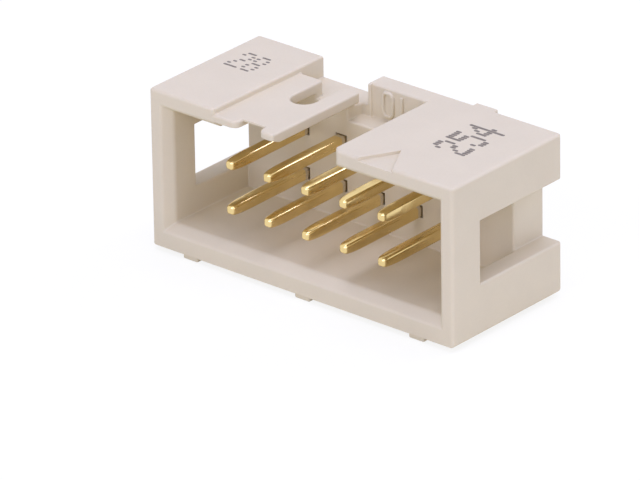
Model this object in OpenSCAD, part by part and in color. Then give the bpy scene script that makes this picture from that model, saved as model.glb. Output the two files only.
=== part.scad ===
// Straight ten-way box header for a circuit board.
// X runs along the contact rows, -Y points out of the mouth, +Z points to the wall with the key slot.
// The origin is the middle of the contact grid on the housing's board side.

/* [Contacts] */
// Contacts in each of the two rows
columns = 5; // [5:1:17]
// Distance between neighbouring contacts, both ways
pitch = 2.54; // [2.4:0.01:3]
// Side of a contact's square section
contact_side = 0.64; // [0.5:0.01:0.7]
// How far the mating tips stay inside the mouth
tip_setback = 0.38; // [0.2:0.02:1.5]
// Length of the taper on a mating tip
tip_taper = 1.05; // [0.4:0.05:1.5]
// Side of the small flat at the end of a mating tip
tip_flat = 0.36; // [0.1:0.02:0.4]
// Length of a solder tail behind the housing
tail_length = 2.85; // [2:0.05:4.5]
// Length of the taper on a solder tail
tail_taper = 0.6; // [0.3:0.05:1]
// Side of the small flat at the end of a solder tail
tail_flat = 0.34; // [0.1:0.02:0.4]

/* [Housing] */
// Depth of the housing from its mouth to its board side
housing_depth = 8.8; // [8:0.1:12]
// Thickness of the base that holds the contacts
base_depth = 2.44; // [2:0.02:3]
// Height of the cavity between the two long walls
cavity_height = 6.36; // [6:0.02:7]
// Room between the last contact's middle and the end wall
cavity_end = 3.88; // [3.4:0.02:4.5]
// Thickness of each end wall
end_wall = 1.2; // [0.9:0.05:1.6]
// Thickness of the plain long wall
under_wall = 1.35; // [1:0.05:1.8]
// Thickness of the long wall with the key slot
key_wall = 1.2; // [1.1:0.05:1.6]
// How much wider the mouth is on each side
lead_in = 0.42; // [0.1:0.02:0.5]
// Depth of the widened mouth
lead_in_depth = 0.6; // [0.3:0.05:1]
// Radius of the long outer edges
edge_round = 0.2; // [0.05:0.05:0.3]

/* [End windows] */
// Distance from the mouth to the windows in the end walls
window_setback = 2.25; // [1.5:0.05:3]
// Height of the windows
window_height = 3.5; // [2:0.05:4.5]
// How far the windows sit above the contact grid's middle
window_rise = 0.06; // [0:0.02:0.3]

/* [Key side] */
// Distance from the middle to the key slot's edge at the shelf
key_slot_left = 1.71; // [1.2:0.01:2]
// Distance from the middle to the key slot's edge at the full-height wall
key_slot_right = 2.19; // [1.8:0.01:2.6]
// Cut on the corner between the key slot and the mouth
key_corner = 0.4; // [0.2:0.05:0.9]
// Length of the lowered shelf along the wall
shelf_length = 4; // [3.6:0.05:5]
// How far the shelf lies below the wall's outside
shelf_drop = 0.35; // [0.15:0.01:0.4]
// How far the shelf's underside is cut back into the wall
shelf_relief = 0.22; // [0:0.02:0.3]
// How much more the mouth is widened under the shelf
shelf_lead_in = 0.22; // [0.05:0.01:0.3]
// Distance from the board side to the shelf's rear edge
shelf_setback = 1.85; // [1.45:0.05:2.2]
// Distance from the shelf's free end to the middle of its two cuts
cut_inset = 1.76; // [1.6:0.02:1.9]
// Width of the notch in the shelf's front edge
notch_width = 1.5; // [1.2:0.05:2]
// Depth of that notch
notch_depth = 0.62; // [0.3:0.02:1]
// Radius of the notch's outer corners and of its upper edges
notch_round = 0.25; // [0.1:0.05:0.4]
// Length of the ramp under the shelf, behind the notch
ramp_length = 2; // [1:0.1:2.5]
// Thickness that the ramp leaves at the notch
ramp_skin = 0.12; // [0.08:0.02:0.3]
// Width of the shallow channel on each side of the ramp
channel_width = 0.45; // [0.2:0.05:0.8]
// Thickness that the shallow channel leaves
channel_skin = 0.38; // [0.3:0.02:0.6]
// Length of the shallow channel's level part
channel_length = 1.25; // [0.8:0.05:2]
// Length of the slope behind it
channel_slope = 0.6; // [0.3:0.05:1.5]
// Width of the round-ended slot in the shelf's rear edge
slot_width = 1.45; // [1:0.05:1.6]
// Length of that slot from the shelf's rear edge
slot_length = 3.1; // [2:0.05:3.8]

/* [Key pocket] */
// Width of the pocket that the key slot has in the base
pocket_width = 4.12; // [3.5:0.02:4.3]
// Depth of the pocket below the cavity's ceiling
pocket_drop = 0.66; // [0.3:0.02:1]
// Thickness of the bar that closes the key slot at the board side
bar_depth = 1.32; // [1.1:0.02:1.6]
// How far the bar reaches past the shelf's free end
bar_overlap = 0.05; // [-0.1:0.05:0.2]
// Width of the strip at the bar's end
strip_width = 0.25; // [0.15:0.05:0.5]
// How far the bar's panel is sunk behind that strip
panel_sink = 0.12; // [0.05:0.01:0.2]

/* [First-contact mark] */
// Width of the triangle at the mouth
mark_width = 2.3; // [1:0.1:3]
// Length of the triangle
mark_length = 2.1; // [1:0.1:3]
// Depth of the triangle
mark_sink = 0.2; // [0.1:0.02:0.3]

/* [Ribs and pads] */
// Width of each rib under the plain long wall
rib_width = 1; // [0.6:0.05:1.5]
// Height of the ribs
rib_height = 0.28; // [0.1:0.02:0.5]
// Distance from the mouth to the ribs
rib_setback = 0.1; // [0:0.05:1]
// Width of each stand-off pad on the board side
pad_width = 1.4; // [0.8:0.05:1.8]
// Height of each pad
pad_height = 1.1; // [0.6:0.05:1.2]
// How far the pads hold the housing off the board
pad_depth = 0.25; // [0.1:0.05:0.6]
// How far the pad next to the shelf stays below the cavity's ceiling
pad_drop = 0.2; // [0.1:0.05:0.3]

/* [Contact holes] */
// Play round a contact in its hole
hole_play = 0.01; // [0.005:0.005:0.03]
// Width of the well round each contact
well_width = 0.86; // [0.8:0.02:1.2]
// Height of the well round each contact
well_height = 0.72; // [0.68:0.02:1.2]
// Depth of the wells, at the cavity's floor and at the board side
well_depth = 0.45; // [0.2:0.05:0.7]

/* [Hidden] */
rows = 2;
contacts = columns * rows;
$fn = 48;
// Reach of a cut past the surface that it opens
over = 0.5;

grid_end = (columns - 1) / 2 * pitch;
cavity_half = grid_end + cavity_end;
half_length = cavity_half + end_wall;
ceiling = cavity_height / 2;
top = ceiling + key_wall;
underside = -ceiling - under_wall;
mouth = -housing_depth;
floor_y = -base_depth;

shelf_end = -key_slot_left;
shelf_start = shelf_end - shelf_length;
shelf_top = top - shelf_drop;
shelf_ceiling = ceiling + shelf_relief;
shelf_back = -shelf_setback;
cut_middle = shelf_end - cut_inset;
pocket_floor = ceiling - pocket_drop;
bar_start = shelf_end + bar_overlap;
bar_front = -bar_depth;
tip_y = mouth + tip_setback;

// Solid block between two opposite corners
module block(low, high) {
    translate(low)
        cube(high - low);
}

// Extrudes a section drawn in X and Z from one depth to another
module along_y(from, to) {
    translate([0, to, 0])
        rotate([90, 0, 0])
            linear_extrude(to - from)
                children();
}

// Rectangle with round corners, drawn about the origin
module round_rectangle(width, height, radius) {
    square([width - 2 * radius, height], center = true);
    square([width, height - 2 * radius], center = true);
    for (x = [-1, 1], y = [-1, 1])
        translate([x * (width / 2 - radius), y * (height / 2 - radius)])
            circle(radius);
}

// What a round edge takes away from a square corner at the origin; the solid lies at -X and -Y
module edge_waste(radius) {
    difference() {
        translate([-radius, -radius])
            square(radius + over);
        translate([-radius, -radius])
            circle(radius);
        translate([-2 * radius, -2 * radius])
            square([radius, 2 * radius + over]);
        translate([-2 * radius, -2 * radius])
            square([2 * radius + over, radius]);
    }
}

// Full outside of the moulding, with round long edges
module outside() {
    along_y(mouth, 0)
        translate([0, (top + underside) / 2])
            round_rectangle(2 * half_length, top - underside, edge_round);
}

// Outline of the cavity across one direction, with the wider mouth
module cavity_outline(half) {
    polygon([
        [mouth - over, half + lead_in * (1 + over / lead_in_depth)],
        [mouth + lead_in_depth, half],
        [floor_y, half],
        [floor_y, -half],
        [mouth + lead_in_depth, -half],
        [mouth - over, -half - lead_in * (1 + over / lead_in_depth)]
    ]);
}

// Cavity between the walls
module cavity() {
    intersection() {
        translate([0, 0, -top - over])
            linear_extrude(2 * (top + over))
                mirror([1, -1])
                    cavity_outline(cavity_half);
        translate([-half_length - over, 0, 0])
            rotate([90, 0, 90])
                linear_extrude(2 * (half_length + over))
                    cavity_outline(ceiling);
    }
}

// Windows in both end walls, open to the board side
module windows() {
    for (side = [-1, 1])
        translate([side * (cavity_half + end_wall / 2 + over / 2), 0, window_rise])
            block([-(end_wall + over) / 2, mouth + window_setback, -window_height / 2],
                  [(end_wall + over) / 2, over, window_height / 2]);
}

// Key slot through the wall, with a cut corner at the mouth
module key_slot() {
    translate([0, 0, ceiling])
        linear_extrude(key_wall + over)
            polygon([
                [shelf_end, mouth - over],
                [key_slot_right + key_corner, mouth - over],
                [key_slot_right + key_corner, mouth],
                [key_slot_right, mouth + key_corner],
                [key_slot_right, bar_front],
                [shelf_end, bar_front]
            ]);
}

// Pocket in the base behind the key slot, and the sunk panel on the bar
module key_pocket() {
    block([-pocket_width / 2, floor_y - over, pocket_floor],
          [pocket_width / 2, bar_front, shelf_ceiling]);
    block([-pocket_width / 2, shelf_back, pocket_floor],
          [key_slot_right, bar_front, top + over]);
    block([bar_start + strip_width, bar_front - over, pocket_floor],
          [pocket_width / 2, bar_front + panel_sink, top + over]);
    block([bar_start + strip_width, bar_front - over, ceiling],
          [key_slot_right, bar_front + panel_sink, top + over]);
}

// Lowering of the wall over the shelf and the deeper cut behind it
module shelf_clearance() {
    block([shelf_start, mouth - over, shelf_top],
          [shelf_end + over, bar_front, top + over]);
    block([shelf_start, shelf_back, ceiling],
          [bar_start, over, top + over]);
    block([shelf_start, mouth - over, ceiling - over],
          [shelf_end + over, floor_y, shelf_ceiling]);
    translate([shelf_start, 0, 0])
        rotate([90, 0, 90])
            linear_extrude(shelf_length + over)
                polygon([
                    [mouth - over, ceiling],
                    [mouth - over, shelf_ceiling + shelf_lead_in * (1 + over / lead_in_depth)],
                    [mouth + lead_in_depth, shelf_ceiling],
                    [mouth + lead_in_depth, ceiling]
                ]);
}

// Notch in the shelf's front edge, with round outer corners and round upper edges
module notch() {
    translate([cut_middle, mouth, ceiling - over])
        linear_extrude(key_wall + 2 * over) {
            translate([-notch_width / 2, -over])
                square([notch_width, notch_depth + over]);
            for (side = [0, 1])
                mirror([side, 0])
                    translate([-notch_width / 2, 0])
                        rotate(-90)
                            edge_waste(notch_round);
        }
    for (side = [0, 1])
        translate([cut_middle, 0, shelf_top])
            mirror([side, 0])
                along_y(mouth - over, mouth + notch_depth)
                    translate([-notch_width / 2, 0])
                        edge_waste(notch_round);
}

// Shallow channel under the shelf, wider than the ramp
module channel() {
    ceiling_here = shelf_top - channel_skin;
    translate([cut_middle - notch_width / 2 - channel_width, 0, 0])
        rotate([90, 0, 90])
            linear_extrude(notch_width + 2 * channel_width)
                polygon([
                    [mouth - over, shelf_ceiling - over],
                    [mouth - over, ceiling_here],
                    [mouth + channel_length, ceiling_here],
                    [mouth + channel_length + channel_slope, shelf_ceiling],
                    [mouth + channel_length + channel_slope, shelf_ceiling - over]
                ]);
}

// Ramp under the shelf, thin at the notch and full behind
module ramp() {
    translate([cut_middle - notch_width / 2, 0, 0])
        rotate([90, 0, 90])
            linear_extrude(notch_width)
                polygon([
                    [mouth - over, shelf_ceiling - over],
                    [mouth - over, shelf_top - ramp_skin],
                    [mouth + notch_depth, shelf_top - ramp_skin],
                    [mouth + notch_depth + ramp_length, shelf_ceiling],
                    [mouth + notch_depth + ramp_length, shelf_ceiling - over]
                ]);
}

// Round-ended slot from the shelf's rear edge
module slot() {
    translate([cut_middle, shelf_back - slot_length + slot_width / 2, ceiling])
        linear_extrude(key_wall + over) {
            circle(d = slot_width);
            translate([-slot_width / 2, 0])
                square([slot_width, slot_length - slot_width / 2 + over]);
        }
}

// Round top edges of the two full-height blocks, the bar and the shelf, where the key side is cut
module key_side_edges() {
    along_y(mouth - over, over)
        translate([shelf_start, top])
            edge_waste(edge_round);
    along_y(mouth - over, bar_front + panel_sink)
        translate([key_slot_right, top])
            mirror([1, 0])
                edge_waste(edge_round);
    along_y(bar_front - over, over)
        translate([bar_start, top])
            mirror([1, 0])
                edge_waste(edge_round);
    along_y(mouth - over, shelf_back)
        translate([shelf_end, shelf_top])
            edge_waste(edge_round);
}

// Triangle that marks the first contact, open to the mouth
module first_contact_mark() {
    translate([grid_end, mouth, top - mark_sink])
        linear_extrude(mark_sink + over)
            polygon([
                [-mark_width / 2 * (1 + over / mark_length), -over],
                [mark_width / 2 * (1 + over / mark_length), -over],
                [0, mark_length]
            ]);
}

// Ribs along the plain long wall
module ribs() {
    for (x = [-grid_end - pitch, 0, grid_end + pitch])
        block([x - rib_width / 2, mouth + rib_setback, underside - rib_height],
              [x + rib_width / 2, 0, underside + edge_round]);
}

// Stand-off pads on the board side, in line with the last contacts
module pads() {
    for (x = [-grid_end, grid_end]) {
        pad_top = x < 0 ? ceiling - pad_drop : top;
        block([x - pad_width / 2, -over, pad_top - pad_height],
              [x + pad_width / 2, pad_depth, pad_top]);
        block([x - pad_width / 2, -over, underside + edge_round],
              [x + pad_width / 2, pad_depth, underside + edge_round + pad_height]);
    }
}

// Places something at each contact's middle, in order
module at_contact(number) {
    column = floor((number - 1) / rows);
    row = (number - 1) % rows;
    translate([grid_end - column * pitch, 0, (row - (rows - 1) / 2) * pitch])
        children();
}

// Hole for one contact, with a well at each face of the base
module contact_hole() {
    hole = contact_side + 2 * hole_play;
    block([-hole / 2, floor_y - over, -hole / 2],
          [hole / 2, over, hole / 2]);
    block([-well_width / 2, floor_y - over, -well_height / 2],
          [well_width / 2, floor_y + well_depth, well_height / 2]);
    block([-well_width / 2, -well_depth, -well_height / 2],
          [well_width / 2, over, well_height / 2]);
}

// Outline of a contact from tip to tail, as seen from two sides at a right angle
module contact_outline() {
    polygon([
        [tip_y, tip_flat / 2],
        [tip_y + tip_taper, contact_side / 2],
        [tail_length - tail_taper, contact_side / 2],
        [tail_length, tail_flat / 2],
        [tail_length, -tail_flat / 2],
        [tail_length - tail_taper, -contact_side / 2],
        [tip_y + tip_taper, -contact_side / 2],
        [tip_y, -tip_flat / 2]
    ]);
}

// The moulding in one piece
module housing() {
    color([0.86, 0.83, 0.78]) {
        difference() {
            outside();
            cavity();
            windows();
            key_slot();
            key_pocket();
            shelf_clearance();
            notch();
            channel();
            ramp();
            slot();
            key_side_edges();
            first_contact_mark();
            for (number = [1 : contacts])
                at_contact(number)
                    contact_hole();
        }
        ribs();
        pads();
    }
}

// One square contact, pointed at both ends
module contact(number) {
    color([0.83, 0.66, 0.3])
        at_contact(number)
            intersection() {
                translate([0, 0, -contact_side])
                    linear_extrude(2 * contact_side)
                        mirror([1, -1])
                            contact_outline();
                translate([-contact_side, 0, 0])
                    rotate([90, 0, 90])
                        linear_extrude(2 * contact_side)
                            contact_outline();
            }
}

housing();
for (number = [1 : contacts])
    contact(number);
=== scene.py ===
import math
import re

import bmesh
import bpy
from mathutils import Matrix, Vector
from mathutils.geometry import intersect_line_line_2d


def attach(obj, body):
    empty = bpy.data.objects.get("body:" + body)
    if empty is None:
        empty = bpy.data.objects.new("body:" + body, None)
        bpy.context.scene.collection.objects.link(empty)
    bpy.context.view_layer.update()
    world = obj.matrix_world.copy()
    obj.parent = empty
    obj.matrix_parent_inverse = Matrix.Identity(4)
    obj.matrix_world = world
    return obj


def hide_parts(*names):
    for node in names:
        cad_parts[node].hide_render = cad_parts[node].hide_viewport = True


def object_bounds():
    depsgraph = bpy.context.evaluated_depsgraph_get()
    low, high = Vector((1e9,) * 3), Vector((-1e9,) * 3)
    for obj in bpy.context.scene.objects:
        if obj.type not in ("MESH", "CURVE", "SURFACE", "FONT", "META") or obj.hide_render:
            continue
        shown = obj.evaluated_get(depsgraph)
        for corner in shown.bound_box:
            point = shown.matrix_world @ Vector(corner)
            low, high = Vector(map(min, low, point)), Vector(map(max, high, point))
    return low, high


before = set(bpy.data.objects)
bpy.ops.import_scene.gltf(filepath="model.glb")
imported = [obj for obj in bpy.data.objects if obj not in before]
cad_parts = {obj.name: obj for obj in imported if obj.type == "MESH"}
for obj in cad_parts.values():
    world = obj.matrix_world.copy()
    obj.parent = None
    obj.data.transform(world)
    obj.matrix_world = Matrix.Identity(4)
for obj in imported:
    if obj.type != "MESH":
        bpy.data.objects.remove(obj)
cad_low, cad_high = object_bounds()

MM = 0.001


# Outer sizes in millimetres; the solids have them too
HALF_LENGTH = 10.16
MOUTH = -8.8
REAR = 0.0
TOP_Z = 4.38
BOTTOM_Z = -4.53
RIB_LOW_Z = -4.81
TAIL_Y = 2.85

# Where a cutting tool ends outside the moulding or inside the cavity, in millimetres
OUT_X = 10.7
OUT_FRONT_Y = -9.3
OUT_REAR_Y = 0.5
OUT_Z = 4.9
IN_CAVITY_Y = -2.9
IN_CAVITY_Z = 3.0

# Cavity and end windows in millimetres; CAVITY_GROWTH is added to each side at OUT_FRONT_Y
CAVITY_HALF_LENGTH = 8.96
CAVITY_HALF_HEIGHT = 3.18
CAVITY_GROWTH = 0.77
LEAD_IN_END_Y = -8.2
FLOOR_Y = -2.44
WINDOW_FRONT_Y = -6.55
WINDOW_LOW_Z = -1.69
WINDOW_HIGH_Z = 1.81

# Key slot, the pocket behind it and the panel at its rear, in millimetres
SLOT_LEFT = -1.71
SLOT_RIGHT = 2.19
SLOT_CHAMFER = 0.4
SLOT_END_Y = -1.32
POCKET_HALF = 2.06
POCKET_LOW_Z = 2.52
POCKET_FRONT_Y = -1.85
PANEL_LEFT = -1.41
PANEL_START_Y = -1.6
PANEL_Y = -1.2

# Lowered shelf left of the key slot, in millimetres; LIP_OUTSIDE_Z is the height at OUT_FRONT_Y
SHELF_LEFT = -5.71
SHELF_RIGHT = -1.2
SHELF_TOP_Z = 4.03
SHELF_UNDER_Z = 3.4
LIP_OUTSIDE_Z = 3.8583
CHANNEL_RIGHT = -1.66
CUT_MIDDLE_X = -3.47
NOTCH_HALF = 0.75
NOTCH_END_Y = -8.18
NOTCH_RAMP_Z = 3.91
NOTCH_RAMP_END_Y = -6.18
WIDE_RAMP_HALF = 1.2
WIDE_RAMP_Z = 3.65
WIDE_RAMP_START_Y = -7.55
WIDE_RAMP_END_Y = -6.95
ROUND_SLOT_HALF = 0.725
ROUND_SLOT_CENTRE_Y = -4.225

# Contact grid and contacts in millimetres
PITCH = 2.54
COLUMNS = 5
ROWS = 2
CONTACT_HALF = 0.32
CONTACT_CORNER = 0.135
# Where the gold colour gives way to the tin colour; the band from here to the base is painted reflection
# of the base and painted shade
TIN_AND_SHADE_START = -2.72
TIP_Y = -8.44
TIP_TAPER = 1.5
TIP_NOSE = 0.12
TIP_SHOULDER = 0.238
TIP_DROP = 0.05
LEAN_START_Y = FLOOR_Y + 0.45
SHAFT_RING_Y = -4.2
TAIL_TAPER = 0.6
TAIL_THINNING = 0.15
TAIL_CORNER = 0.12
TAIL_END_LENGTH = 0.03
TAIL_END_HALF = 0.13
TAIL_END_CORNER = 0.08

# Mark of the first contact, ribs and pads, in millimetres; MARK_HALF is the one at OUT_FRONT_Y
MARK_X = 2 * PITCH
MARK_HALF = 1.424
MARK_TIP_Y = -6.7
MARK_LOW_Z = 4.18
RIB_PLACES = (-3 * PITCH, 0, 3 * PITCH)
RIB_HALF = 0.5
RIB_FRONT_Y = -8.7
RIB_ROOT_Z = -4.3
PAD_X = 2 * PITCH
PAD_HALF = 0.7
PAD_WIDTH = 1.1
PAD_ROOT_Y = -0.3
PAD_HEIGHT = 0.25
PAD_PLACES = [(-PAD_X, 1.88), (PAD_X, TOP_Z - PAD_WIDTH), (-PAD_X, -4.33), (PAD_X, -4.33)]

# Contact holes and the wells at both their ends: half sizes along X and Z, front and rear end
HOLES = [
    (0.33, 0.33, IN_CAVITY_Y, OUT_REAR_Y),
    (0.37, 0.35, IN_CAVITY_Y, -2.1),
    (0.43, 0.36, -0.45, OUT_REAR_Y),
]

# Camera, as fitted to the photograph on the contact grid and the housing's corners
CAMERA_AZIMUTH = 40.64
CAMERA_ELEVATION = 25.03
CAMERA_ROLL = -0.90
CAMERA_DISTANCE = 393.55 * MM
CAMERA_LENS = 429.4
SENSOR_WIDTH = 36.0
AIM = Vector((-0.653, -6.438, -2.425)) * MM

# Light in metres and watts: for each lamp its name, place, size and power
TENT_LIGHT = (0.437, 0.451, 0.667)
LAMP_COLOUR = (0.655, 0.677, 1.0)
LAMP_AIM = (0, -0.004, 0)
LAMPS = [
    ("overhead", (0, 0, 0.45), 0.3, 1.2),
    ("front", (0, -0.38, 0.24), 0.2, 0.62),
    ("side", (0.44, 0, 0.1), 0.2, 0.3),
    ("key", (0.29, -0.30, 0.19), 0.22, 0.5),
    ("back", (0.12, 0.33, 0.3), 0.12, 0.45),
]
FLOOR_SHADE = 0.2
FLOOR_COLOUR = (0.88, 0.86, 0.70)
FLOOR_GLOW = 1.04

# Darker and lighter end of each colour
PLASTIC_COLOURS = ((0.665, 0.575, 0.374), (0.695, 0.601, 0.390))
SPECK_COLOURS = ((0.985, 0.984, 0.981), (1.0, 1.0, 1.0))
GOLD_COLOURS = ((0.78, 0.60, 0.27), (0.86, 0.67, 0.32))
# Tin of the tails, also used as painted reflection and painted shade on the band in front of the base
TIN_AND_SHADE_COLOURS = ((0.62, 0.55, 0.44), (0.70, 0.63, 0.51))
INK_COLOURS = ((0.140, 0.116, 0.080), (0.240, 0.200, 0.140))


# Materials

class Nodes:
    """A new material and short calls to make its nodes."""

    def __init__(self, name):
        self.material = bpy.data.materials.new(name)
        self.material.use_nodes = True
        self.tree = self.material.node_tree
        self.shader = self.tree.nodes["Principled BSDF"]
        self.output = self.tree.nodes["Material Output"]

    def add(self, kind, **values):
        """Node of a kind, with values for its properties or its sockets."""
        node = self.tree.nodes.new(kind)
        for key, value in values.items():
            if hasattr(node, key):
                setattr(node, key, value)
            else:
                node.inputs[key.replace("_", " ")].default_value = value
        return node

    def link(self, source, target):
        self.tree.links.new(source, target)

    def position(self, scale):
        """Object position, stretched by scale along each axis."""
        place = self.add("ShaderNodeTexCoord")
        mapping = self.add("ShaderNodeMapping")
        mapping.inputs["Scale"].default_value = scale
        self.link(place.outputs["Object"], mapping.inputs["Vector"])
        return mapping.outputs["Vector"]

    def noise(self, vector, scale, detail=3.0, roughness=0.5):
        node = self.add("ShaderNodeTexNoise", Scale=scale, Detail=detail, Roughness=roughness)
        self.link(vector, node.inputs["Vector"])
        return node.outputs["Fac"]

    def ramp(self, factor, colours, places):
        """Colour ramp from the first to the second colour."""
        node = self.add("ShaderNodeValToRGB")
        for element, place, colour in zip(node.color_ramp.elements, places, colours):
            element.position = place
            element.color = (*colour, 1)
        self.link(factor, node.inputs["Fac"])
        return node.outputs["Color"]

    def span(self, factor, low, high, start=0.35, end=0.65):
        """Maps start..end, by default a noise's middle range, to low..high."""
        node = self.add("ShaderNodeMapRange")
        node.inputs["From Min"].default_value = start
        node.inputs["From Max"].default_value = end
        node.inputs["To Min"].default_value = low
        node.inputs["To Max"].default_value = high
        self.link(factor, node.inputs["Value"])
        return node.outputs["Result"]

    def mix(self, blend, factor, first, second):
        """Blend of two colours; the factor is a number or a socket."""
        node = self.add("ShaderNodeMix", data_type="RGBA", blend_type=blend)
        if isinstance(factor, float):
            node.inputs["Factor"].default_value = factor
        else:
            self.link(factor, node.inputs["Factor"])
        self.link(first, node.inputs[6])
        self.link(second, node.inputs[7])
        return node.outputs[2]

    def bump(self, height, strength, distance, before=None):
        node = self.add("ShaderNodeBump", Strength=strength, Distance=distance)
        self.link(height, node.inputs["Height"])
        if before:
            self.link(before, node.inputs["Normal"])
        return node.outputs["Normal"]

    def set(self, **values):
        """Sets sockets of the shader."""
        for key, value in values.items():
            self.shader.inputs[key.replace("_", " ")].default_value = value


def plastic_material():
    """Pale warm grey moulded plastic with a fine spark-eroded grain."""
    m = Nodes("housing_plastic")
    place = m.position((1000, 1000, 1000))
    cloud = m.noise(place, 0.35, 3.0)
    base = m.ramp(cloud, PLASTIC_COLOURS, (0.30, 0.70))
    speck = m.ramp(m.noise(place, 9.0, 2.0), SPECK_COLOURS, (0.30, 0.62))
    m.link(m.mix("MULTIPLY", 1.0, base, speck), m.shader.inputs["Base Color"])
    grain = m.noise(place, 14.0, 4.0, 0.6)
    m.link(m.span(grain, 0.46, 0.60), m.shader.inputs["Roughness"])
    waves = m.bump(m.noise(place, 0.8, 2.0), 0.25, 0.02 * MM)
    m.link(m.bump(grain, 0.15, 0.008 * MM, waves), m.shader.inputs["Normal"])
    m.set(IOR=1.5, Subsurface_Weight=0.12, Subsurface_Scale=0.4 * MM)
    m.set(Subsurface_Radius=(1.0, 0.75, 0.55))
    return m.material


def gold_material():
    """Gold plating on drawn square wire, which stops just in front of the base. Behind that is a greyer
    tin colour: the tails' own tin, and painted reflection of the base and painted shade on the short band
    in front of the base.
    """
    m = Nodes("contact_gold")
    along = m.position((1000, 60, 1000))
    even = m.position((1000, 1000, 1000))
    lines = m.noise(along, 6.0, 3.0, 0.6)
    cloud = m.noise(even, 0.9, 2.0)
    gold_colour = m.ramp(cloud, GOLD_COLOURS, (0.30, 0.70))
    tin_and_shade_colour = m.ramp(cloud, TIN_AND_SHADE_COLOURS, (0.30, 0.70))
    split = m.add("ShaderNodeSeparateXYZ")
    m.link(even, split.inputs[0])
    # Tin colour from where the gold ends: real tin on the tails, painted reflection and painted shade
    # just in front of the base
    tin_and_shade_mask = m.span(split.outputs["Y"], 0.0, 1.0, TIN_AND_SHADE_START - 0.03, TIN_AND_SHADE_START + 0.03)
    m.link(m.mix("MIX", tin_and_shade_mask, gold_colour, tin_and_shade_colour), m.shader.inputs["Base Color"])
    m.link(m.span(lines, 0.14, 0.28), m.shader.inputs["Roughness"])
    waves = m.bump(m.noise(even, 1.6, 2.0), 0.2, 0.02 * MM)
    m.link(m.bump(lines, 0.1, 0.008 * MM, waves), m.shader.inputs["Normal"])
    m.set(Metallic=1.0)
    return m.material


def ink_material():
    """Grey dot-matrix ink of uneven strength."""
    m = Nodes("mark_ink")
    place = m.position((1000, 1000, 1000))
    blot = m.noise(place, 5.0, 3.0)
    m.link(m.ramp(blot, INK_COLOURS, (0.25, 0.75)), m.shader.inputs["Base Color"])
    m.link(m.span(m.noise(place, 14.0), 0.45, 0.65), m.shader.inputs["Roughness"])
    return m.material


# Mesh helpers

def new_object(name, builder):
    """Object from a bmesh, which is used up."""
    mesh = bpy.data.meshes.new(name)
    builder.to_mesh(mesh)
    builder.free()
    piece = bpy.data.objects.new(name, mesh)
    bpy.context.scene.collection.objects.link(piece)
    return piece


def finish_mesh(name, builder, sharp=35):
    """Turns a bmesh, in metres, into an object with smooth round edges and flat faces."""
    piece = new_object(name, builder)
    for face in piece.data.polygons:
        face.use_smooth = True
    piece.data.set_sharp_from_angle(angle=math.radians(sharp))
    modifier = piece.modifiers.new("Normals", "WEIGHTED_NORMAL")
    modifier.keep_sharp = True
    modifier.weight = 80
    apply_modifiers(piece)
    return piece


def apply_modifiers(piece):
    graph = bpy.context.evaluated_depsgraph_get()
    graph.update()
    made = bpy.data.meshes.new_from_object(piece.evaluated_get(graph))
    made.name = piece.name
    piece.modifiers.clear()
    piece.data = made


def join_rings(builder, rings):
    """Faces between rings of points, each ring closed in itself."""
    count = len(rings[0])
    for first, second in zip(rings, rings[1:]):
        for i in range(count):
            j = (i + 1) % count
            builder.faces.new((first[i], first[j], second[j], second[i]))


def across(face, edge):
    """How far a face reaches from the middle of one of its edges, at a right angle to it."""
    start = (edge.verts[0].co + edge.verts[1].co) / 2
    along = (edge.verts[1].co - edge.verts[0].co).normalized()
    inward = face.normal.cross(along)
    loop = next(item for item in face.loops if item.edge is edge)
    if (loop.link_loop_next.vert.co - loop.vert.co).dot(along) < 0:
        inward = -inward
    nearest = 1.0
    origin = Vector((0, 0))
    goal = Vector((0, 1))
    for other in face.edges:
        if other is edge:
            continue
        ends = []
        for vertex in other.verts:
            offset = vertex.co - start
            ends.append(Vector((offset.dot(along), offset.dot(inward))))
        hit = intersect_line_line_2d(origin, goal, ends[0], ends[1])
        if hit and hit.y > 1e-7:
            nearest = min(nearest, hit.y)
    return nearest


# Housing with sharp edges, built in millimetres

def prism(points, axis, low, high):
    """Corner points and faces of a straight prism; points lie across the axis."""
    def place(pair, level):
        if axis == "x":
            return (level, pair[0], pair[1])
        return (pair[0], pair[1], level)
    count = len(points)
    corners = [place(pair, low) for pair in points] + [place(pair, high) for pair in points]
    faces = [list(range(count)), list(range(count, 2 * count))]
    for i in range(count):
        j = (i + 1) % count
        faces.append([i, j, count + j, count + i])
    return corners, faces


def block(low, high):
    """Box between two corners."""
    outline = [(low[0], low[1]), (high[0], low[1]), (high[0], high[1]), (low[0], high[1])]
    return prism(outline, "z", low[2], high[2])


def solid(name, shapes):
    """Object from shapes that don't touch each other."""
    builder = bmesh.new()
    for corners, faces in shapes:
        made = [builder.verts.new(corner) for corner in corners]
        for face in faces:
            builder.faces.new([made[i] for i in face])
    bmesh.ops.recalc_face_normals(builder, faces=builder.faces)
    return new_object(name, builder)


def cavity_shape():
    """Cavity that widens to the mouth."""
    corners = []
    for y, grow in ((OUT_FRONT_Y, CAVITY_GROWTH), (LEAD_IN_END_Y, 0.0), (FLOOR_Y, 0.0)):
        for x, z in ((-1, -1), (1, -1), (1, 1), (-1, 1)):
            corners.append((x * (CAVITY_HALF_LENGTH + grow), y, z * (CAVITY_HALF_HEIGHT + grow)))
    faces = [[0, 1, 2, 3], [8, 9, 10, 11]]
    for ring in (0, 4):
        for i in range(4):
            j = (i + 1) % 4
            faces.append([ring + i, ring + j, ring + 4 + j, ring + 4 + i])
    return corners, faces


def window_cuts():
    """Windows through both end walls, open to the rear."""
    return [
        block((-OUT_X, WINDOW_FRONT_Y, WINDOW_LOW_Z), (-CAVITY_HALF_LENGTH, OUT_REAR_Y, WINDOW_HIGH_Z)),
        block((CAVITY_HALF_LENGTH, WINDOW_FRONT_Y, WINDOW_LOW_Z), (OUT_X, OUT_REAR_Y, WINDOW_HIGH_Z)),
    ]


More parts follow.
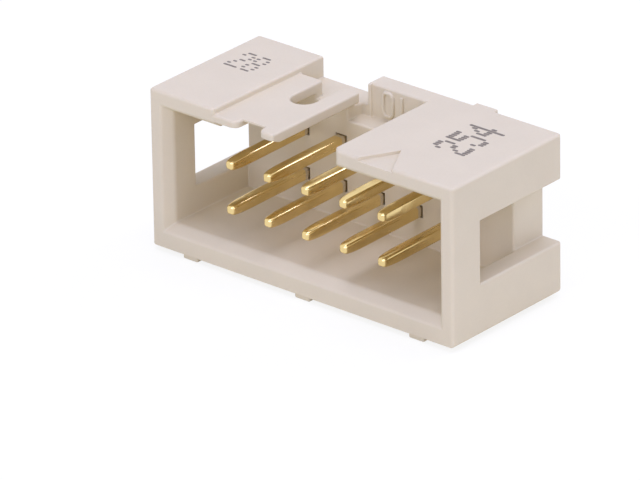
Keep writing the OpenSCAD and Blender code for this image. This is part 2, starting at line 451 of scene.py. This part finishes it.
def key_slot_cuts():
    """Slot through the upper wall, the pocket behind it and the panel at its rear."""
    corner_x = SLOT_RIGHT + SLOT_CHAMFER
    outline = [(SLOT_LEFT, OUT_FRONT_Y), (corner_x, OUT_FRONT_Y), (corner_x, MOUTH),
               (SLOT_RIGHT, MOUTH + SLOT_CHAMFER), (SLOT_RIGHT, SLOT_END_Y), (SLOT_LEFT, SLOT_END_Y)]
    return [
        prism(outline, "z", IN_CAVITY_Z, OUT_Z),
        block((-POCKET_HALF, IN_CAVITY_Y, POCKET_LOW_Z), (POCKET_HALF, SLOT_END_Y, SHELF_UNDER_Z)),
        block((-POCKET_HALF, POCKET_FRONT_Y, POCKET_LOW_Z), (SLOT_RIGHT, SLOT_END_Y, OUT_Z)),
        block((PANEL_LEFT, PANEL_START_Y, POCKET_LOW_Z), (POCKET_HALF, PANEL_Y, OUT_Z)),
        block((PANEL_LEFT, PANEL_START_Y, CAVITY_HALF_HEIGHT), (SLOT_RIGHT, PANEL_Y, OUT_Z)),
    ]


def shelf_cuts():
    """What makes the shelf lower: above it, in the channel behind it, under it and at its lip."""
    lip = [(OUT_FRONT_Y, IN_CAVITY_Z), (OUT_FRONT_Y, LIP_OUTSIDE_Z),
           (LEAD_IN_END_Y, SHELF_UNDER_Z), (LEAD_IN_END_Y, IN_CAVITY_Z)]
    return [
        block((SHELF_LEFT, OUT_FRONT_Y, SHELF_TOP_Z), (SHELF_RIGHT, SLOT_END_Y, OUT_Z)),
        block((SHELF_LEFT, POCKET_FRONT_Y, CAVITY_HALF_HEIGHT), (CHANNEL_RIGHT, OUT_REAR_Y, OUT_Z)),
        block((SHELF_LEFT, OUT_FRONT_Y, IN_CAVITY_Z), (SHELF_RIGHT, FLOOR_Y, SHELF_UNDER_Z)),
        prism(lip, "x", SHELF_LEFT, SHELF_RIGHT),
    ]


def round_slot_outline():
    """Slot in the shelf with a round front end."""
    points = [(CUT_MIDDLE_X + ROUND_SLOT_HALF, OUT_REAR_Y), (CUT_MIDDLE_X - ROUND_SLOT_HALF, OUT_REAR_Y)]
    steps = 16
    for step in range(steps + 1):
        angle = math.pi * (1 + step / steps)
        points.append((CUT_MIDDLE_X + ROUND_SLOT_HALF * math.cos(angle),
                       ROUND_SLOT_CENTRE_Y + ROUND_SLOT_HALF * math.sin(angle)))
    return points


def notch_cuts():
    """Notch in the shelf's lip, the two ramps under the shelf and the slot with a round end."""
    left, right = CUT_MIDDLE_X - NOTCH_HALF, CUT_MIDDLE_X + NOTCH_HALF
    wide_left, wide_right = CUT_MIDDLE_X - WIDE_RAMP_HALF, CUT_MIDDLE_X + WIDE_RAMP_HALF
    wide_ramp = [(OUT_FRONT_Y, IN_CAVITY_Z), (OUT_FRONT_Y, WIDE_RAMP_Z), (WIDE_RAMP_START_Y, WIDE_RAMP_Z),
                 (WIDE_RAMP_END_Y, SHELF_UNDER_Z), (WIDE_RAMP_END_Y, IN_CAVITY_Z)]
    ramp = [(OUT_FRONT_Y, IN_CAVITY_Z), (OUT_FRONT_Y, NOTCH_RAMP_Z), (NOTCH_END_Y, NOTCH_RAMP_Z),
            (NOTCH_RAMP_END_Y, SHELF_UNDER_Z), (NOTCH_RAMP_END_Y, IN_CAVITY_Z)]
    return [
        block((left, OUT_FRONT_Y, IN_CAVITY_Z), (right, NOTCH_END_Y, OUT_Z)),
        prism(wide_ramp, "x", wide_left, wide_right),
        prism(ramp, "x", left, right),
        prism(round_slot_outline(), "z", CAVITY_HALF_HEIGHT, OUT_Z),
    ]


def mark_cut():
    """Shallow triangle at the mouth that marks the first contact."""
    outline = [(MARK_X - MARK_HALF, OUT_FRONT_Y), (MARK_X + MARK_HALF, OUT_FRONT_Y), (MARK_X, MARK_TIP_Y)]
    return prism(outline, "z", MARK_LOW_Z, OUT_Z)


def contact_spots():
    """Places of the contacts as (x, z)."""
    middle_column = (COLUMNS - 1) / 2
    middle_row = (ROWS - 1) / 2
    return [((column - middle_column) * PITCH, (row - middle_row) * PITCH)
            for column in range(COLUMNS) for row in range(ROWS)]


def hole_cuts(half_x, half_z, front, rear):
    """One block at each contact, for its hole or for a well at an end of the hole."""
    return [block((x - half_x, front, z - half_z), (x + half_x, rear, z + half_z))
            for x, z in contact_spots()]


def ribs():
    """Ribs under the lower long wall."""
    return [block((x - RIB_HALF, RIB_FRONT_Y, RIB_LOW_Z), (x + RIB_HALF, REAR, RIB_ROOT_Z))
            for x in RIB_PLACES]


def pads():
    """Stand-off pads on the board side."""
    return [block((x - PAD_HALF, PAD_ROOT_Y, z), (x + PAD_HALF, PAD_HEIGHT, z + PAD_WIDTH))
            for x, z in PAD_PLACES]


def sharp_housing():
    """The moulding with sharp edges, as a bmesh in millimetres."""
    cuts = [[cavity_shape()], window_cuts()]
    cuts += [[shape] for shape in key_slot_cuts() + shelf_cuts() + notch_cuts()]
    cuts += [[mark_cut()]] + [hole_cuts(*hole) for hole in HOLES]
    body = solid("body", [block((-HALF_LENGTH, MOUTH, BOTTOM_Z), (HALF_LENGTH, REAR, TOP_Z))])
    tools = []
    for operation, groups in (("DIFFERENCE", cuts), ("UNION", [ribs(), pads()])):
        for shapes in groups:
            tool = solid("tool", shapes)
            tools.append(tool)
            modifier = body.modifiers.new("Boolean", "BOOLEAN")
            modifier.operation = operation
            modifier.solver = "EXACT"
            modifier.object = tool
    apply_modifiers(body)
    builder = bmesh.new()
    builder.from_mesh(body.data)
    for used in tools + [body]:
        bpy.data.objects.remove(used)
    bmesh.ops.remove_doubles(builder, verts=builder.verts, dist=WELD)
    flat = math.radians(0.5)
    bmesh.ops.dissolve_limit(builder, angle_limit=flat, verts=builder.verts, edges=builder.edges)
    return builder


# Round edges of the housing, in millimetres; PARALLEL is a cosine

FLATTEST_EDGE = math.radians(20)
WELD = 0.0005
EXACT = 0.001
NEAR = 0.01
PARALLEL = 0.9
SHARE_OF_ROOM = 0.42

WIDEST = 0.25
NOTCH_CORNER = 0.4
ROUND_CONVEX = 0.13
ROUND_CONCAVE = 0.08
ROUND_OUTER = 0.19
ROUND_FRONT_UPRIGHT = 0.24
ROUND_WELL = 0.03
ROUND_PAD = 0.05
ROUND_RIB = 0.09
ROUND_SLOT_CORNER = 0.05
ROUND_LEDGE = 0.04
ROUND_SLOT_TOP = 0.18
ROUND_STEP_FOOT = 0.07
ROUND_RAMP = 0.03
ROUND_FINE = 0.035

# Regions whose edges have a radius of their own, each as two corners of a box
AT_SLOT_CORNER = ((2.1, -9.8, -5.0), (2.7, -7.9, 3.7))
AT_LEDGE = ((2.05, -9.8, 2.5), (2.2, -2.4, 3.4))
AT_SHELF_CUTS = ((-5.6, -9.8, 3.3), (-1.8, -6.0, 4.1))
AT_RAMPS = ((-4.7, -8.7, 3.3), (-2.2, -5.5, 3.95))
AT_MARK = ((3.6, -9.8, 4.15), (6.5, -6.6, 5.4))
WELL_REACH_X = 0.5
WELL_REACH_Z = 0.45

# Limits that tell one group of edges from the next
FRONT_Y = -8.0
LIP_Y = -8.3
POCKET_EDGES_Y = -2.0
PANEL_EDGES_Y = -1.3
STEP_Z = 3.7
UNDER_SHELF_Z = 3.95
RIM_Z = 4.2
MARK_RIM_Z = 4.3


def near(value, target, limit=NEAR):
    """Whether two numbers differ by less than a limit."""
    return abs(value - target) < limit


def inside(place, box):
    """Whether a place lies in a box, which is given by two corners."""
    low, high = box
    return all(a < b < c for a, b, c in zip(low, place, high))


def beside_contact(x, y, z):
    """Whether a place lies in or round a contact's hole."""
    if y <= FLOOR_Y - NEAR:
        return False
    return any(near(x, spot_x, WELL_REACH_X) and near(z, spot_z, WELL_REACH_Z)
               for spot_x, spot_z in contact_spots())


def slot_radius(place, radius):
    """Radius for an edge of the key slot, the pocket or the panel; else radius, unchanged."""
    x, y, z = place
    if inside(place, AT_SLOT_CORNER):
        radius = ROUND_SLOT_CORNER
    if inside(place, AT_LEDGE):
        radius = ROUND_LEDGE
    if near(x, SLOT_RIGHT) and z > RIM_Z and y < PANEL_EDGES_Y:
        radius = ROUND_SLOT_TOP
    if y > POCKET_EDGES_Y and near(x, PANEL_LEFT, 2 * NEAR):
        radius = ROUND_FINE
    return radius


def shelf_radius(place, along, radius):
    """Radius for an edge of the lowered shelf or the ramps under it; else radius, unchanged."""
    x, y, z = place
    if near(x, SHELF_LEFT) and z > STEP_Z:
        radius = WIDEST if z > RIM_Z else ROUND_STEP_FOOT
    if inside(place, AT_SHELF_CUTS):
        if z < UNDER_SHELF_Z or (y > LIP_Y and abs(along.x) > PARALLEL):
            radius = ROUND_RAMP
    if inside(place, AT_RAMPS):
        radius = 0.0
    return radius


def edge_radius(edge):
    """Radius for one edge of the housing, or 0 where it stays sharp."""
    angle = edge.calc_face_angle_signed()
    if abs(angle) < FLATTEST_EDGE:
        return 0.0
    place = (edge.verts[0].co + edge.verts[1].co) / 2
    along = (edge.verts[1].co - edge.verts[0].co).normalized()
    x, y, z = place
    if beside_contact(x, y, z):
        return ROUND_WELL if y < FLOOR_Y + NEAR or y > REAR - NEAR else 0.0
    if y > REAR - NEAR and angle < 0:
        return 0.0
    radius = ROUND_CONVEX if angle > 0 else ROUND_CONCAVE
    outer_planes = sum((near(abs(x), HALF_LENGTH), near(y, MOUTH), near(y, REAR),
                        near(z, TOP_Z), near(z, BOTTOM_Z)))
    if outer_planes > 1:
        radius = ROUND_FRONT_UPRIGHT if abs(along.z) > PARALLEL and y < FRONT_Y else ROUND_OUTER
    if y > REAR + NEAR:
        radius = ROUND_PAD
    if z < BOTTOM_Z - NEAR / 2:
        radius = ROUND_RIB
    radius = slot_radius(place, radius)
    radius = shelf_radius(place, along, radius)
    if inside(place, AT_MARK) and (abs(along.x) < PARALLEL or z < MARK_RIM_Z):
        radius = ROUND_FINE
    room = min(across(face, edge) for face in edge.link_faces)
    return min(radius, SHARE_OF_ROOM * room)


def notch_corner(edge):
    """Large radius for the two outer corners of the shelf's notch."""
    start, end = edge.verts[0].co, edge.verts[1].co
    upright = near(start.x, end.x, EXACT) and near(start.y, end.y, EXACT)
    at_notch = near(abs(start.x - CUT_MIDDLE_X), NOTCH_HALF, EXACT)
    return NOTCH_CORNER if upright and at_notch and near(start.y, MOUTH, EXACT) else 0.0


def bevelled(builder, rule, widest, segments):
    """Rounds the edges that the rule gives a radius."""
    weights = builder.edges.layers.float.get("bevel_weight_edge")
    if weights is None:
        weights = builder.edges.layers.float.new("bevel_weight_edge")
    for edge in builder.edges:
        edge[weights] = rule(edge) / widest if edge.is_manifold else 0.0
    piece = new_object("bevel", builder)
    modifier = piece.modifiers.new("Bevel", "BEVEL")
    modifier.width = widest
    modifier.segments = segments
    modifier.limit_method = "WEIGHT"
    modifier.use_clamp_overlap = False
    apply_modifiers(piece)
    result = bmesh.new()
    result.from_mesh(piece.data)
    bpy.data.objects.remove(piece)
    return result


def round_housing():
    builder = bevelled(sharp_housing(), notch_corner, NOTCH_CORNER, segments=5)
    builder = bevelled(builder, edge_radius, WIDEST, segments=3)
    bmesh.ops.remove_doubles(builder, verts=builder.verts, dist=WELD)
    bmesh.ops.scale(builder, vec=(MM, MM, MM), verts=builder.verts)
    piece = finish_mesh("moulded_housing", builder)
    piece.data.materials.clear()
    piece.data.materials.append(plastic)
    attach(piece, "root")
    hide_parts("housing")


# Contacts

def square_ring(y, half, radius, drop):
    """Points of a square with round corners, at one place along a contact, in millimetres."""
    points = []
    inner = half - radius
    steps = 4
    for corner, (sign_x, sign_z) in enumerate(((1, 1), (-1, 1), (-1, -1), (1, -1))):
        for step in range(steps + 1):
            angle = math.radians(90 * (corner + step / steps))
            points.append((sign_x * inner + radius * math.cos(angle), y,
                           sign_z * inner + radius * math.sin(angle) - drop))
    return points


def contact_profile():
    """(place along the contact, half side, corner radius) from the mating tip to the solder tail."""
    nose = [(0.0, 0.085, 0.05), (0.012, 0.135, 0.08), (0.035, 0.177, 0.10), (0.07, 0.211, 0.12),
            (TIP_NOSE, TIP_SHOULDER, 0.13)]
    rings = [(TIP_Y + length, half, radius) for length, half, radius in nose]
    steps = 8
    for step in range(1, steps + 1):
        part = (step / steps) ** 1.4
        half = TIP_SHOULDER + (CONTACT_HALF - TIP_SHOULDER) * math.sin(part ** 0.6 * math.pi / 2)
        rings.append((TIP_Y + TIP_NOSE + (TIP_TAPER - TIP_NOSE) * part, half, CONTACT_CORNER))
    start = TAIL_Y - TAIL_TAPER
    for y in (SHAFT_RING_Y, FLOOR_Y, LEAN_START_Y, REAR, start):
        rings.append((y, CONTACT_HALF, CONTACT_CORNER))
    steps = 4
    for step in range(1, steps + 1):
        part = step / steps
        y = start + (TAIL_TAPER - TAIL_END_LENGTH) * part
        rings.append((y, CONTACT_HALF - TAIL_THINNING * part ** 1.3, TAIL_CORNER))
    rings.append((TAIL_Y, TAIL_END_HALF, TAIL_END_CORNER))
    return rings


def round_contact(number):
    """One contact. Number 1 is in the lower row at +X, 2 is above it, and so on towards -X."""
    column, row = divmod(number - 1, ROWS)
    x = ((COLUMNS - 1) / 2 - column) * PITCH
    z = (row - (ROWS - 1) / 2) * PITCH
    builder = bmesh.new()
    rings = []
    for y, half, radius in contact_profile():
        drop = TIP_DROP * max(0.0, (LEAN_START_Y - y) / (LEAN_START_Y - TIP_Y))
        ring = square_ring(y, half, radius, drop)
        rings.append([builder.verts.new(((px + x) * MM, py * MM, (pz + z) * MM)) for px, py, pz in ring])
    join_rings(builder, rings)
    builder.faces.new(rings[0])
    builder.faces.new(rings[-1])
    bmesh.ops.recalc_face_normals(builder, faces=builder.faces)
    piece = finish_mesh("pin_%d" % number, builder, sharp=50)
    piece.data.materials.append(gold)
    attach(piece, "root")
    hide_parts("contact_%d" % number)


# Raised number, in millimetres; BEAD is a stroke's section in parts of its half width and height

RAISED_LOW = 2.81
RAISED_HIGH = 4.11
RAISED_STROKE = 0.1
RAISED_HEIGHT = 0.15
ZERO_LEFT = -0.66
ZERO_RIGHT = -0.01
ONE_X = 0.6
BEAD = [(-1.0, -0.2), (-0.92, 0.45), (-0.62, 0.88), (0.0, 1.0), (0.62, 0.88), (0.92, 0.45), (1.0, -0.2)]


def sweep(builder, path, closed):
    """A low rounded bead along a path on the panel; the path gives x and z."""
    rings = []
    total = len(path)
    for i, spot in enumerate(path):
        here = Vector(spot)
        before = Vector(path[i - 1]) if closed or i > 0 else None
        after = Vector(path[(i + 1) % total]) if closed or i < total - 1 else None
        sides = []
        for start, end in ((before, here), (here, after)):
            if start is not None and end is not None:
                along = (end - start).normalized()
                sides.append(Vector((-along.y, along.x)))
        side = sides[0] if len(sides) == 1 else (sides[0] + sides[1]) / (1 + sides[0].dot(sides[1]))
        ring = []
        for across_part, up_part in BEAD:
            place = here + side * across_part * RAISED_STROKE
            level = PANEL_Y - up_part * RAISED_HEIGHT
            ring.append(builder.verts.new((place.x * MM, level * MM, place.y * MM)))
        rings.append(ring)
    if closed:
        join_rings(builder, rings + rings[:1])
    else:
        join_rings(builder, rings)
        builder.faces.new(rings[0])
        builder.faces.new(rings[-1])


def raised_number():
    """Two plain digits moulded on the panel behind the key slot."""
    builder = bmesh.new()
    low, high = RAISED_LOW, RAISED_HIGH
    left, right = ZERO_LEFT, ZERO_RIGHT
    cut_x, cut_z = 0.14, 0.22
    zero = [(left, low + cut_z), (left, high - cut_z), (left + cut_x, high), (right - cut_x, high),
            (right, high - cut_z), (right, low + cut_z), (right - cut_x, low), (left + cut_x, low)]
    sweep(builder, zero, True)
    sweep(builder, [(ONE_X, low), (ONE_X, high)], False)
    bmesh.ops.recalc_face_normals(builder, faces=builder.faces)
    piece = finish_mesh("raised_number", builder, sharp=60)
    piece.data.materials.append(plastic)
    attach(piece, "root")


# Printed numbers, in millimetres

DIGITS = {
    "2": ("01110", "10001", "00001", "00110", "01000", "10000", "11111"),
    "4": ("00010", "00110", "01010", "10010", "11111", "00010", "00010"),
    "5": ("11111", "10000", "11110", "00001", "00001", "10001", "01110"),
    "8": ("01110", "10001", "10001", "01110", "10001", "10001", "01110"),
}
DOTS_UP = 7
DOTS_ACROSS = 5
DIGIT_STEP = 6.2
WOBBLE = 0.08
INK_BELOW = 0.01
INK_ABOVE = 0.005


def printed_number(name, text, start, right, up, step, width, reach):
    """Dot-matrix number on the top. Dots in a line along X run into one dash.

    right and up are the number's own directions, and reach is how far a dash goes past its dots.
    """
    builder = bmesh.new()
    start, right, up = Vector(start), Vector(right), Vector(up)
    lines_across = abs(right.x) > abs(up.x)
    for place, digit in enumerate(text):
        rows = DIGITS[digit]
        columns = ["".join(row[column] for row in rows) for column in range(DOTS_ACROSS)]
        for index, bits in enumerate(rows if lines_across else columns):
            wobble = WOBBLE * math.sin(7.3 * index + 5.7 * place)
            for run in re.finditer("1+", bits):
                ends = []
                for dot, sign in ((run.start(), -1), (run.end() - 1, 1)):
                    along_right = dot if lines_across else index
                    along_up = DOTS_UP - 1 - (index if lines_across else dot)
                    spot = (start + right * step[0] * (along_right + place * DIGIT_STEP)
                            + up * step[1] * along_up)
                    shift = sign * reach + wobble
                    if lines_across:
                        spot += right * step[0] * shift
                    else:
                        spot -= up * step[1] * shift
                    ends.append(spot)
                add_dash(builder, ends[0], ends[1], width)
    piece = finish_mesh(name, builder, sharp=40)
    piece.data.materials.append(ink)
    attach(piece, "root")


def add_dash(builder, start, end, width):
    """A flat dash with round ends, just above the plastic."""
    along = (end - start).normalized()
    side = Vector((-along.y, along.x, 0))
    half = width / 2
    outline = []
    steps = 12
    for step in range(steps):
        angle = 2 * math.pi * (step + 0.5) / steps
        centre = end - along * half if math.cos(angle) > 0 else start + along * half
        outline.append(centre + along * half * math.cos(angle) + side * half * math.sin(angle))
    rings = []
    for z in (TOP_Z - INK_BELOW, TOP_Z + INK_ABOVE):
        rings.append([builder.verts.new((spot.x * MM, spot.y * MM, z * MM)) for spot in outline])
    join_rings(builder, rings)
    builder.faces.new(rings[1])
    builder.faces.new(list(reversed(rings[0])))


# Camera, light and floor

def make_camera():
    azimuth = math.radians(CAMERA_AZIMUTH)
    elevation = math.radians(CAMERA_ELEVATION)
    back = Vector((math.sin(azimuth) * math.cos(elevation),
                   -math.cos(azimuth) * math.cos(elevation),
                   math.sin(elevation)))
    data = bpy.data.cameras.new("photo_camera")
    data.lens = CAMERA_LENS
    data.sensor_width = SENSOR_WIDTH
    data.clip_start = 0.01
    data.clip_end = 50
    camera = bpy.data.objects.new("photo_camera", data)
    bpy.context.scene.collection.objects.link(camera)
    level = (-back).to_track_quat("-Z", "Y").to_matrix().to_4x4()
    roll = Matrix.Rotation(math.radians(CAMERA_ROLL), 4, "Z")
    camera.matrix_world = Matrix.Translation(AIM + back * CAMERA_DISTANCE) @ level @ roll
    bpy.context.scene.camera = camera


def area_light(name, position, size, power):
    """Square lamp, turned to LAMP_AIM."""
    data = bpy.data.lights.new(name, "AREA")
    data.energy = power
    data.size = size
    data.color = LAMP_COLOUR
    light = bpy.data.objects.new(name, data)
    light.location = position
    direction = Vector(LAMP_AIM) - Vector(position)
    light.rotation_euler = direction.to_track_quat("-Z", "Y").to_euler()
    bpy.context.scene.collection.objects.link(light)


def seen_directly(tree):
    """1 for camera, glossy and transmission rays, which see the plain white surroundings."""
    path = tree.nodes.new("ShaderNodeLightPath")
    total = path.outputs["Is Camera Ray"]
    for name in ("Is Glossy Ray", "Is Transmission Ray"):
        node = tree.nodes.new("ShaderNodeMath")
        node.operation = "MAXIMUM"
        tree.links.new(total, node.inputs[0])
        tree.links.new(path.outputs[name], node.inputs[1])
        total = node.outputs[0]
    return total


def make_world():
    """Light tent: TENT_LIGHT is what falls on surfaces, and white is what is seen."""
    world = bpy.data.worlds.new("studio")
    bpy.context.scene.world = world
    world.use_nodes = True
    tree = world.node_tree
    background = tree.nodes["Background"]
    background.inputs["Strength"].default_value = 1.0
    mixer = tree.nodes.new("ShaderNodeMix")
    mixer.data_type = "RGBA"
    mixer.inputs[6].default_value = (*TENT_LIGHT, 1)
    mixer.inputs[7].default_value = (1, 1, 1, 1)
    tree.links.new(seen_directly(tree), mixer.inputs["Factor"])
    tree.links.new(mixer.outputs[2], background.inputs["Color"])


def make_floor():
    """Pale floor that shows a light shadow; FLOOR_SHADE is how much of it the lamps light."""
    builder = bmesh.new()
    bmesh.ops.create_grid(builder, x_segments=1, y_segments=1, size=3)
    floor = new_object("floor", builder)
    floor.location.z = cad_low.z
    m = Nodes("floor")
    m.set(Roughness=0.8, Specular_IOR_Level=0.0, Base_Color=(*FLOOR_COLOUR, 1))
    glow = m.add("ShaderNodeEmission", Strength=FLOOR_GLOW)
    mixer = m.add("ShaderNodeMixShader")
    scale = m.add("ShaderNodeMath", operation="MULTIPLY")
    m.link(seen_directly(m.tree), scale.inputs[0])
    scale.inputs[1].default_value = 1 - FLOOR_SHADE
    m.link(scale.outputs[0], mixer.inputs["Fac"])
    m.link(m.shader.outputs[0], mixer.inputs[1])
    m.link(glow.outputs[0], mixer.inputs[2])
    m.link(mixer.outputs[0], m.output.inputs["Surface"])
    floor.data.materials.append(m.material)


make_camera()
plastic = plastic_material()
gold = gold_material()
ink = ink_material()
for name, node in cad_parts.items():
    node.data.materials.clear()
    node.data.materials.append(plastic if name == "housing" else gold)
round_housing()
for number in range(1, COLUMNS * ROWS + 1):
    round_contact(number)
raised_number()
printed_number("printed_left", "28", start=(-9.02, -4.02, 0), right=(1, 0, 0), up=(0, 1, 0),
               step=(0.158, 0.3), width=0.15, reach=0.8)
printed_number("printed_right", "254", start=(7.9, -5.25, 0), right=(0, 1, 0), up=(-1, 0, 0),
               step=(0.205, 0.32), width=0.185, reach=0.55)

make_world()
make_floor()
for lamp in LAMPS:
    area_light(*lamp)

bpy.context.scene.view_settings.view_transform = "Standard"
